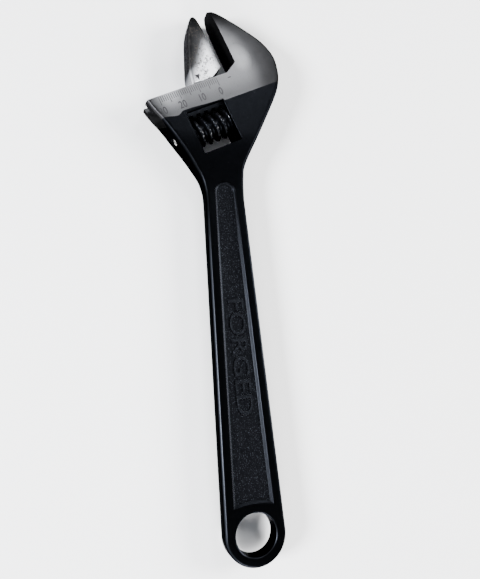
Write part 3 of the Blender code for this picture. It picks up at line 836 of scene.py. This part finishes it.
class WRENCH_OT_body(bpy.types.Operator):
    """Build the forged body with its window, bores, hanging hole and recessed handle"""

    bl_idname = "wrench.body"
    bl_label = "Forged body"

    def execute(self, context):
        body, slide, worm, _, _ = settings()
        outline, forged = body_outline()
        mesh = forged_plate(outline, forged, body.edge_inset, body.edge_depth, HALF_HEAD, MID_PLANE)
        origin = throat()
        reach = body.jaw_length + 1 * MM
        grid_cut(mesh, origin, ALONG, -24 * MM, 50 * MM, body.grid)
        grid_cut(mesh, origin, DOWN, -reach, 50 * MM, body.grid)
        grid_cut(mesh, HOLE_CENTRE, Vector((1, 0, 0)), -10 * MM, neck_x() + 8 * MM, 2 * body.grid)
        points = plan(mesh)
        u, d = head_places(points)
        rise = ease((points[:, 0] - HOLE_CENTRE.x - neck_x() - 2 * MM) / body.shoulder)
        half_handle = body.handle_thickness / 2
        wanted = half_handle + (HALF_HEAD - half_handle) * rise
        wanted = np.minimum(wanted, jaw_taper(-d, body.jaw_length))
        back = outline[-(len(outline) // 4):]
        crown = np.clip(1 - distance_to(points, back) / body.crown_width, 0, 1) ** 2
        crown *= ease((24 * MM - d) / (16 * MM)) * (u < 2 * MM)
        wanted = np.maximum(wanted - body.crown_drop * crown, body.edge_depth + 0.3 * MM)
        set_thickness(mesh, HALF_HEAD, body.edge_depth, wanted, MID_PLANE)
        piece = new_piece("forged_body", mesh)
        combine(piece, self.cutters(body, slide, worm))
        smooth(piece, 32)
        hand_over(piece, body_finish(), "root", "forged_black", "wrench_body")
        return {"FINISHED"}

    def cutters(self, body, slide, worm):
        """The solids that leave the window, the bores, the slot, the hole and the recesses."""
        to_head = head_matrix()
        half_handle = body.handle_thickness / 2
        far = 2 * HALF_HEAD
        past_end = body.rail_length + 10 * MM
        start, end = worm.window_start, worm.window_start + worm.window_width
        top, bottom = worm.window_top, worm_down() + worm.radius + worm.window_under
        levels = flared_levels(body.window_round, HALF_HEAD, 1 * MM)
        loops = [rounded_box(start - f, end + f, top - f, bottom + f, 0.8 * MM + f)
                 for f, _ in levels]
        found = [new_piece("window", prism_rings(loops, [z for _, z in levels]), to_head)]

        half_slot = slide.web_thickness / 2 + slide.gap
        slot_end = slide.chamfer + slide.web_setback - slide.gap
        slot = [Vector(p) for p in ((slot_end, -2 * MM), (past_end, -2 * MM),
                                    (past_end, rack_down()), (slot_end, rack_down()))]
        found.append(new_piece("slot", prism_rings([slot, slot], [-half_slot, half_slot]), to_head))
        bore_radius = slide.rack_radius + slide.gap
        blind = -slide.rack_past_face - 1.5 * MM
        bores = (("rack_bore", blind, bore_radius, rack_down()),
                 ("pin_bore", start - worm.pin_seat - 0.4 * MM, worm.pin_radius + slide.gap,
                  worm_down()))
        for name, inner, radius, down in bores:
            place = to_head @ Matrix.Translation((0, down, 0))
            found.append(new_piece(name, turned([(inner, radius), (past_end, radius)]), place))

        upright = Matrix.Translation(HOLE_CENTRE) @ Matrix.Rotation(-math.pi / 2, 4, "Y")
        levels = flared_levels(body.hole_round, half_handle, 1 * MM, 8)
        profile = [(z, body.hole_radius + flare) for flare, z in levels]
        found.append(new_piece("hole", turned(profile, 144), upright))
        for side in (-1, 1):
            found.append(new_piece("recess", recess_cutter(side, half_handle)))
        return found


def rounded_box(x0, x1, y0, y1, radius, steps=5):
    """A rectangle with round corners, anticlockwise."""
    corners = ((x0, y0, math.pi), (x1, y0, 1.5 * math.pi), (x1, y1, 0), (x0, y1, 0.5 * math.pi))
    found = []
    for x, y, start in corners:
        centre = Vector((x + (radius if x == x0 else -radius), y + (radius if y == y0 else -radius)))
        for step in range(steps + 1):
            angle = start + math.pi / 2 * step / steps
            found.append(centre + radius * Vector((math.cos(angle), math.sin(angle))))
    return found


def panel_outline(slope):
    """The handle's recess, brought in by slope on all sides."""
    body = bpy.context.scene.wrench_body
    start = body.hole_radius + body.panel_end_gap + slope
    rim = body.panel_rim + slope
    end_width = handle_half_width(start) - rim
    top_radius = handle_half_width(neck_x()) - rim
    centre = neck_x() + 3.5 * MM
    foot = [
        on_handle(start - body.panel_end_bow * (y / end_width) ** 2, y)
        for y in [end_width * (1 - 2 * step / 16) for step in range(17)]
    ]
    head = [
        on_handle(centre + top_radius * math.sin(angle), -top_radius * math.cos(angle))
        for angle in [math.pi * step / 32 for step in range(33)]
    ]
    return foot + head


def recess_cutter(side, half_handle):
    """A cutter for one recess: round rim, sloped wall and a fillet at the floor."""
    body = bpy.context.scene.wrench_body
    rim, fillet = 0.45 * MM, 0.5 * MM
    over = 1 * MM
    wall = body.panel_slope
    levels = []
    steps = 5
    for step in range(steps + 1):
        turn = math.pi / 2 * step / steps
        levels.append((wall + fillet * (1 - math.sin(turn)) - fillet * 0.3,
                       -body.panel_depth + fillet * (1 - math.cos(turn)) * 0.8))
    for step in range(steps + 1):
        turn = math.pi / 2 * step / steps
        levels.append((-rim * (1 - math.cos(turn)), -rim + rim * math.sin(turn)))
    levels.append((-rim - over * 0.3, over))
    loops = [panel_outline(inset) for inset, _ in levels]
    mesh = prism_rings(loops, [MID_PLANE + half_handle + z for _, z in levels])
    if side < 0:
        for vert in mesh.verts:
            vert.co.z = 2 * MID_PLANE - vert.co.z
    return mesh


class WRENCH_OT_movable_jaw(bpy.types.Operator):
    """Build the movable jaw with its web and its toothed round rack"""

    bl_idname = "wrench.movable_jaw"
    bl_label = "Movable jaw"

    def execute(self, context):
        body, slide, worm, _, _ = settings()
        foot = body.rail_depth - slide.gap
        tip = Vector((body.tip_width, -body.jaw_length))
        back = [Vector((u * MM, -beyond * MM)) for u, beyond in JAW_BACK]
        outer = smooth_through([Vector((slide.foot, foot)), *back, tip])
        inner = [tip, Vector((0, -body.jaw_length)), Vector((0, 0)), Vector((slide.chamfer, foot))]
        outline = list(reversed(outer + inner))
        from_tip = narrowing(len(outline) - 4, body.tip_width / 2 / slide.edge_inset)
        forged = [0.0] * 3 + from_tip[::-1] + [0.0]
        mesh = forged_plate(outline, forged, slide.edge_inset, slide.edge_depth, HALF_HEAD)
        flat_origin = Vector((0, 0, 0))
        grid_cut(mesh, flat_origin, Vector((1, 0, 0)), 0.6 * MM, slide.foot, body.grid)
        grid_cut(mesh, flat_origin, Vector((0, 1, 0)), -body.jaw_length + 0.4 * MM, foot, body.grid)
        points = plan(mesh)
        wanted = jaw_taper(-points[:, 1], body.jaw_length)
        crown = np.clip(1 - distance_to(points, outer) / (6 * MM), 0, 1) ** 2
        wanted -= 0.5 * MM * crown * ease((4 * MM - points[:, 1]) / (8 * MM))
        wanted = np.maximum(wanted, slide.edge_depth + 0.1 * MM)
        set_thickness(mesh, HALF_HEAD, slide.edge_depth, wanted, 0.0)
        place = head_matrix() @ Matrix.Translation((slide.opening, 0, 0))
        piece = new_piece("movable_jaw_finished", mesh, place)

        web = rounded_box(slide.chamfer + slide.web_setback, slide.foot - slide.web_setback,
                          foot - 3 * MM, rack_down() - 0.3 * slide.rack_radius, 0.2 * MM)
        half_web = slide.web_thickness / 2
        web_piece = new_piece("web", prism_rings([web, web], [-half_web, half_web]), place)
        on_axis = place @ Matrix.Translation((0, rack_down(), 0))
        radius, bevel = slide.rack_radius, 0.5 * MM
        rack = turned([(-slide.rack_past_face, radius - bevel),
                       (-slide.rack_past_face + bevel, radius),
                       (slide.rack_behind_face - bevel, radius),
                       (slide.rack_behind_face, radius - bevel)])
        combine(piece, [web_piece, new_piece("rack", rack, on_axis)], "UNION")
        combine(piece, [new_piece("teeth", self.spaces(slide, worm), on_axis)])
        smooth(piece, 32)
        hand_over(piece, jaw_finish(), "jaw", "ground_steel", "movable_jaw")
        return {"FINISHED"}

    def spaces(self, slide, worm):
        """The spaces between the rack's teeth, slanted to lie along the worm's thread."""
        mesh = bmesh.new()
        middle = worm.window_start + worm.window_width / 2
        tip, floor = slide.rack_radius + 1 * MM, slide.rack_radius - worm.mesh_depth - slide.gap
        slant = worm.pitch / (2 * math.pi * (worm.radius - worm.mesh_depth / 2))
        reach = slide.rack_radius + 1 * MM

        def half_width(down):
            share = (down - slide.rack_radius + worm.mesh_depth) / worm.mesh_depth
            return worm.crest / 2 + worm.flank / 2 * share + slide.gap

        first = math.ceil((slide.opening - slide.rack_past_face - middle) / worm.pitch - 0.5)
        last = math.floor((slide.opening + slide.rack_behind_face - middle) / worm.pitch + 0.5)
        for turn in range(first, last + 1):
            centre = middle + turn * worm.pitch - slide.opening
            section = [(-half_width(floor), floor), (half_width(floor), floor),
                       (half_width(tip), tip), (-half_width(tip), tip)]
            ends = [[mesh.verts.new((centre + x - slant * z, down, z)) for x, down in section]
                    for z in (-reach, reach)]
            loft(mesh, ends)
            mesh.faces.new(reversed(ends[0]))
            mesh.faces.new(ends[1])
        return mesh


class WRENCH_OT_worm(bpy.types.Operator):
    """Build the adjusting worm with its rounded thread and finger notches"""

    bl_idname = "wrench.worm"
    bl_label = "Adjusting worm"

    def execute(self, context):
        slide, worm = settings()[1:3]
        length_along = worm.window_width - 2 * worm.end_gap
        middle = worm.window_start + worm.window_width / 2
        place = head_matrix() @ Matrix.Translation((middle, worm_down(), 0))
        piece = new_piece("adjusting_worm_finished", self.thread(slide, worm, length_along), place)
        half, chamfer, outside = length_along / 2, 0.8 * MM, worm.radius + 1 * MM
        run = outside - worm.radius + chamfer
        blank = turned([(-half, worm.radius - chamfer), (-half + run, outside),
                        (half - run, outside), (half, worm.radius - chamfer)])
        combine(piece, [new_piece("blank", blank, place)], "INTERSECT")
        hole = worm.pin_radius + slide.gap
        coil = worm.pin_radius + 2 * slide.gap + 2 * worm.wire_radius
        seat = half - worm.spring_seat
        bore = turned([(-half - 2 * MM, hole), (seat, hole), (seat + 0.01 * MM, coil),
                       (half + 2 * MM, coil)], 48)
        combine(piece, [new_piece("bore", bore, place)])
        smooth(piece, 40)
        hand_over(piece, worm_finish(), "worm", "worm_black", "adjusting_worm")
        return {"FINISHED"}

    def thread(self, slide, worm, length_along):
        """A right-hand thread about local X, longer than the worm, with notched round crests."""
        mesh = bmesh.new()
        steps, per_turn = 216, 14
        turns = math.ceil(length_along / 2 / worm.pitch) + 2
        root_radius = worm.radius - worm.mesh_depth - slide.gap
        root_half = worm.crest / 2 + worm.flank / 2
        offsets = [worm.pitch * (i / per_turn - 0.5) for i in range(per_turn)]
        rise = [1 - ease((abs(x) - 0.55 * worm.crest / 2) / (1.15 * root_half - 0.55 * worm.crest / 2))
                for x in offsets]
        columns = []
        for step in range(steps):
            angle = 2 * math.pi * step / steps
            side = Vector((0, -math.cos(angle), -math.sin(angle)))
            notch = max(0.0, math.cos(worm.notches * angle)) ** 2 * worm.notch_depth
            column = []
            for turn in range(-turns, turns + 1):
                for x, share in zip(offsets, rise):
                    radius = root_radius + (worm.radius - root_radius) * share - notch * share
                    along = worm.pitch * (turn + angle / (2 * math.pi)) + x
                    column.append(mesh.verts.new(side * radius + Vector((along, 0, 0))))
            columns.append(column)
        last = len(columns[0]) - 1
        for step in range(steps):
            here, beside = columns[step], columns[(step + 1) % steps]
            shift = per_turn if step == steps - 1 else 0
            for i in range(last - shift):
                mesh.faces.new((here[i], beside[i + shift], beside[i + shift + 1], here[i + 1]))
        low_ring = [column[0] for column in columns] + [columns[0][per_turn]]
        high_ring = [columns[-1][last - per_turn]] + [column[last] for column in columns]
        low_step, high_step = columns[0][:per_turn + 1], columns[-1][last - per_turn:]
        for ring, step in ((low_ring, low_step), (high_ring, high_step)):
            centre = mesh.verts.new((step[per_turn // 2].co.x, 0, 0))
            for a, b in zip(ring, ring[1:]):
                mesh.faces.new((a, b, centre))
            mesh.faces.new((*step, centre))
        return mesh


class WRENCH_OT_pin(bpy.types.Operator):
    """Build the pin that the worm turns on, with its slotted bright end"""

    bl_idname = "wrench.pin"
    bl_label = "Worm pin"

    def execute(self, context):
        worm, colours = settings()[2], settings()[4]
        start, end = worm.window_start - worm.pin_seat, worm.pin_mouth - worm.pin_recess
        radius, round_end = worm.pin_radius, 0.5 * MM
        turns = [math.pi / 2 * step / 6 for step in range(7)]
        nose = [(start + round_end * (1 - math.sin(t)), radius - round_end * (1 - math.cos(t)))
                for t in reversed(turns)]
        tail = [(end - round_end * (1 - math.sin(t)), radius - round_end * (1 - math.cos(t)))
                for t in turns]
        place = head_matrix() @ Matrix.Translation((0, worm_down(), 0))
        piece = new_piece("worm_pin_finished", turned(nose + tail, 64), place)
        half_slot, depth = 0.32 * MM, 0.7 * MM
        slot = rounded_box(end - depth, end + 1 * MM, -3 * MM, 3 * MM, 0.1 * MM)
        tilted = place @ Matrix.Rotation(math.radians(35), 4, "X")
        combine(piece, [new_piece("driver_slot", prism_rings([slot, slot], [-half_slot, half_slot]),
                                  tilted)])
        smooth(piece, 35)
        hand_over(piece, bright_finish("pin_steel", colours.pin, 0.24, 9.0), "root", "pin_steel",
                  "worm_pin")
        return {"FINISHED"}


class WRENCH_OT_spring(bpy.types.Operator):
    """Build the compression spring in the worm's counterbore"""

    bl_idname = "wrench.spring"
    bl_label = "Worm spring"

    def execute(self, context):
        slide, worm, _, colours = settings()[1:]
        inner = worm.window_start + worm.window_width - worm.end_gap - worm.spring_seat
        start = inner + slide.gap + worm.wire_radius
        end = worm.window_start + worm.window_width - slide.gap - worm.wire_radius
        coil = worm.pin_radius + slide.gap + worm.wire_radius
        per_turn, sides = 40, 12
        total = worm.spring_turns * per_turn
        mesh = bmesh.new()
        rings = []
        for step in range(total + 1):
            angle = 2 * math.pi * step / per_turn
            outward = Vector((0, math.cos(angle), math.sin(angle)))
            centre = Vector((start + (end - start) * step / total, 0, 0)) + outward * coil
            ring = []
            for corner in range(sides):
                turn = 2 * math.pi * corner / sides
                away = math.cos(turn) * outward + math.sin(turn) * Vector((1, 0, 0))
                ring.append(mesh.verts.new(centre + worm.wire_radius * away))
            rings.append(ring)
        loft(mesh, rings)
        mesh.faces.new(reversed(rings[0]))
        mesh.faces.new(rings[-1])
        place = head_matrix() @ Matrix.Translation((0, worm_down(), 0))
        piece = new_piece("worm_spring_finished", mesh, place)
        smooth(piece, 50)
        hand_over(piece, bright_finish("spring_steel", colours.wire, 0.3, 6.0), "root",
                  "spring_steel", "worm_spring")
        return {"FINISHED"}


def ticks_tree():
    """Geometry Nodes that lay marks in a row, each fifth one long."""
    tree = bpy.data.node_groups.new("scale_marks", "GeometryNodeTree")
    sockets = {}
    for name, kind in (("Steps", "NodeSocketInt"), ("Spacing", "NodeSocketFloat"),
                       ("Width", "NodeSocketFloat"), ("Short", "NodeSocketFloat"),
                       ("Long", "NodeSocketFloat"), ("Height", "NodeSocketFloat"),
                       ("Material", "NodeSocketMaterial")):
        sockets[name] = tree.interface.new_socket(name, in_out="INPUT", socket_type=kind)
    tree.interface.new_socket("Marks", in_out="OUTPUT", socket_type="NodeSocketGeometry")

    def node(kind, settings_of=None, inputs=None):
        made = tree.nodes.new(kind)
        for name, value in (settings_of or {}).items():
            setattr(made, name, value)
        for name, value in (inputs or {}).items():
            if isinstance(value, bpy.types.NodeSocket):
                tree.links.new(value, made.inputs[name])
            else:
                made.inputs[name].default_value = value
        return made

    given = node("NodeGroupInput").outputs
    points = node("ShaderNodeMath", {"operation": "ADD"}, {0: given["Steps"], 1: 1.0}).outputs[0]
    step = node("ShaderNodeCombineXYZ", None, {0: given["Spacing"]}).outputs[0]
    row = node("GeometryNodeMeshLine", {"mode": "OFFSET"}, {"Count": points, "Offset": step})
    index = node("GeometryNodeInputIndex").outputs[0]
    fifth = node("ShaderNodeMath", {"operation": "MODULO"}, {0: index, 1: 5.0}).outputs[0]
    is_long = node("ShaderNodeMath", {"operation": "LESS_THAN"}, {0: fifth, 1: 0.5}).outputs[0]
    mark_length = node("ShaderNodeMapRange", None,
                       {0: is_long, 3: given["Short"], 4: given["Long"]}).outputs[0]
    size = node("ShaderNodeCombineXYZ", None,
                {0: given["Width"], 1: mark_length, 2: given["Height"]}).outputs[0]
    cube = node("GeometryNodeMeshCube", None, {"Size": (1, 1, 1)}).outputs["Mesh"]
    hung = node("GeometryNodeTransform", None, {"Geometry": cube, "Translation": (0, 0.5, 0)})
    laid = node("GeometryNodeInstanceOnPoints", None,
                {"Points": row.outputs[0], "Instance": hung.outputs[0], "Scale": size})
    real = node("GeometryNodeRealizeInstances", None, {"Geometry": laid.outputs[0]})
    painted = node("GeometryNodeSetMaterial", None,
                   {"Geometry": real.outputs[0], "Material": given["Material"]})
    node("NodeGroupOutput", None, {"Marks": painted.outputs[0]})
    return tree, {name: socket.identifier for name, socket in sockets.items()}


def figure(name, text, height, thickness, matrix, bevel=0.0, weight=0.0):
    """Text as a mesh, centred on matrix's origin, reading along its X with its top towards Y."""
    curve = bpy.data.curves.new(name, "FONT")
    curve.body = text
    curve.size = height / 0.72
    curve.align_x = "CENTER"
    curve.align_y = "CENTER"
    curve.extrude = thickness / 2
    curve.offset = weight
    curve.bevel_depth = bevel
    curve.bevel_resolution = 2
    curve.resolution_u = 6
    holder = bpy.data.objects.new(name, curve)
    bpy.context.scene.collection.objects.link(holder)
    graph = bpy.context.evaluated_depsgraph_get()
    graph.update()
    data = bpy.data.meshes.new_from_object(holder.evaluated_get(graph))
    bpy.data.objects.remove(holder)
    mesh = bmesh.new()
    mesh.from_mesh(data)
    bmesh.ops.remove_doubles(mesh, verts=mesh.verts, dist=1e-7)
    return new_piece(name, mesh, matrix)


def join(pieces, name):
    """One piece from several."""
    mesh = bmesh.new()
    for piece in pieces:
        mesh.from_mesh(piece.data)
        bpy.data.objects.remove(piece)
    data = bpy.data.meshes.new(name)
    mesh.to_mesh(data)
    mesh.free()
    joined = bpy.data.objects.new(name, data)
    bpy.context.scene.collection.objects.link(joined)
    return joined


class WRENCH_OT_marks(bpy.types.Operator):
    """Build the millimetre scale, its figures, the pointer and the handle's raised word"""

    bl_idname = "wrench.marks"
    bl_label = "Scale and marks"

    def execute(self, context):
        body, slide, _, marks, _ = settings()
        ink = mark_finish()
        face = head_matrix() @ Matrix.Translation((0, 0, HALF_HEAD))
        pieces = [self.ticks(marks, ink, face)]
        # Figures read towards the fixed jaw, with their tops towards the jaws.
        reading = Matrix.Rotation(math.pi, 4, "Z")
        squeeze = Matrix.Diagonal((0.78, 1, 1, 1))
        for value in range(0, marks.steps + 1, 10):
            place = Matrix.Translation((marks.zero + value * MM + 0.6 * MM, marks.figure_down, 0))
            pieces.append(figure("figure", str(value), marks.figure_height, marks.relief * 2,
                                 face @ place @ reading @ squeeze, 0.0, 0.07 * MM))
        relief_mark = Matrix.Translation((6.2 * MM, 6.0 * MM, 0))
        oval = [Vector((1.0 * MM * math.cos(a), 0.28 * MM * math.sin(a)))
                for a in [2 * math.pi * step / 24 for step in range(24)]]
        pieces.append(new_piece("throat_mark", prism_rings([oval, oval],
                                                           [-marks.relief, marks.relief]),
                                face @ relief_mark))
        scale = join(pieces, "rail_scale")
        hand_over(scale, ink, "root", "ground_steel")

        tip = slide.opening + marks.zero
        top = body.rail_depth - 3.6 * MM
        corners = [Vector(p) for p in ((tip, body.rail_depth - 0.7 * MM),
                                       (tip + 1.0 * MM, top), (tip - 1.1 * MM, top))]
        pointer = new_piece("jaw_pointer",
                            prism_rings([corners, corners], [-marks.relief, marks.relief]), face)
        hand_over(pointer, ink, "jaw", "ground_steel")

        floor = Vector((marks.cast_middle, 0, body.handle_thickness / 2 - body.panel_depth))
        lying = Matrix.Translation(HOLE_CENTRE + floor) @ Matrix.Rotation(math.pi, 4, "Z")
        cast_mark = figure("cast_mark", "FORGED", marks.cast_height, 2 * marks.cast_relief,
                           lying @ Matrix.Diagonal((marks.cast_stretch, 1, 1, 1)), 0.12 * MM)
        forged = bpy.data.objects["forged_body"].active_material
        hand_over(cast_mark, forged, "root", "forged_black")
        return {"FINISHED"}

    def ticks(self, marks, ink, face):
        tree, identifiers = ticks_tree()
        holder = bpy.data.objects.new("ticks", bpy.data.meshes.new("ticks"))
        bpy.context.scene.collection.objects.link(holder)
        modifier = holder.modifiers.new("scale_marks", "NODES")
        modifier.node_group = tree
        values = {"Steps": marks.steps, "Spacing": 1 * MM, "Width": marks.tick_width,
                  "Short": marks.tick_length, "Long": marks.long_tick,
                  "Height": 2 * marks.relief, "Material": ink}
        for name, value in values.items():
            modifier[identifiers[name]] = value
        apply_modifiers(holder)
        holder.data.transform(face @ Matrix.Translation((marks.zero, marks.tick_top, 0)))
        return holder


class WRENCH_OT_stage(bpy.types.Operator):
    """Set up the floor, the lights and the camera"""

    bl_idname = "wrench.stage"
    bl_label = "Stage"

    def execute(self, context):
        stage = context.scene.wrench_stage
        centre = (CAD_BOX[0] + CAD_BOX[1]) / 2
        camera = bpy.data.objects.new("camera", bpy.data.cameras.new("camera"))
        context.scene.collection.objects.link(camera)
        camera.location = HOLE_CENTRE + Vector((stage.camera_x, stage.camera_y, stage.camera_z))
        aim = HOLE_CENTRE + Vector((stage.aim_x, stage.aim_y, 0))
        forward = (aim - camera.location).normalized()
        right = forward.cross(Vector((1, 0, 0))).normalized()
        level = Matrix((right, right.cross(forward), -forward)).transposed()
        camera.rotation_mode = "QUATERNION"
        camera.rotation_quaternion = (level @ Matrix.Rotation(stage.roll, 3, "Z")).to_quaternion()
        camera.data.lens = stage.focal
        camera.data.clip_start = 0.01
        context.scene.camera = camera

        mesh = bmesh.new()
        bmesh.ops.create_grid(mesh, x_segments=1, y_segments=1, size=stage.floor_size / 2)
        floor = new_piece("floor", mesh, Matrix.Translation((0, 0, CAD_BOX[0].z - 0.2 * MM)))
        finish = Finish("floor_paint")
        paint = finish.mix(finish.noise(0.004, 2.0) * 0.1, stage.floor,
                           tuple(0.96 * c for c in stage.floor))
        floor.data.materials.append(finish.set(Base_Color=paint, Roughness=0.9))

        world = bpy.data.worlds.new("soft_room")
        world.use_nodes = True
        world.node_tree.nodes["Background"].inputs["Color"].default_value = (0.9, 0.93, 1.0, 1)
        world.node_tree.nodes["Background"].inputs["Strength"].default_value = stage.room_light
        context.scene.world = world
        for name, place, size, power, tint in LAMPS:
            data = bpy.data.lights.new(name, "AREA")
            data.shape = "DISK"
            data.size = size
            data.energy = power
            data.color = tint
            lamp = bpy.data.objects.new(name, data)
            lamp.location = centre + place
            lamp.rotation_mode = "QUATERNION"
            lamp.rotation_quaternion = (-place).to_track_quat("-Z", "Y")
            context.scene.collection.objects.link(lamp)
        return {"FINISHED"}


class WRENCH_PT_panel(bpy.types.Panel):
    """Lists the wrench's pieces and their sizes"""

    bl_label = "Adjustable wrench"
    bl_idname = "WRENCH_PT_panel"
    bl_space_type = "VIEW_3D"
    bl_region_type = "UI"
    bl_category = "Wrench"

    def draw(self, context):
        for operator in OPERATORS:
            self.layout.operator(operator.bl_idname)
        for group, name in GROUPS.items():
            sizes = getattr(context.scene, name)
            column = self.layout.column(heading=group.__doc__)
            for entry in group.__annotations__:
                column.prop(sizes, entry)


GROUPS = {
    BodySizes: "wrench_body",
    SlideSizes: "wrench_slide",
    WormSizes: "wrench_worm",
    MarkSizes: "wrench_marks",
    Finishes: "wrench_finish",
    StageSettings: "wrench_stage",
}
OPERATORS = (WRENCH_OT_stage, WRENCH_OT_body, WRENCH_OT_movable_jaw, WRENCH_OT_worm, WRENCH_OT_pin,
             WRENCH_OT_spring, WRENCH_OT_marks)
CLASSES = (*GROUPS, *OPERATORS, WRENCH_PT_panel)


def register():
    for each in CLASSES:
        bpy.utils.register_class(each)
    for group, name in GROUPS.items():
        setattr(bpy.types.Scene, name, bpy.props.PointerProperty(type=group))


def unregister():
    for name in GROUPS.values():
        delattr(bpy.types.Scene, name)
    for each in reversed(CLASSES):
        bpy.utils.unregister_class(each)


def main():
    register()
    bpy.ops.wrench.stage()
    bpy.ops.wrench.body()
    bpy.ops.wrench.movable_jaw()
    bpy.ops.wrench.worm()
    bpy.ops.wrench.pin()
    bpy.ops.wrench.spring()
    bpy.ops.wrench.marks()


if __name__ == "__main__":
    main()
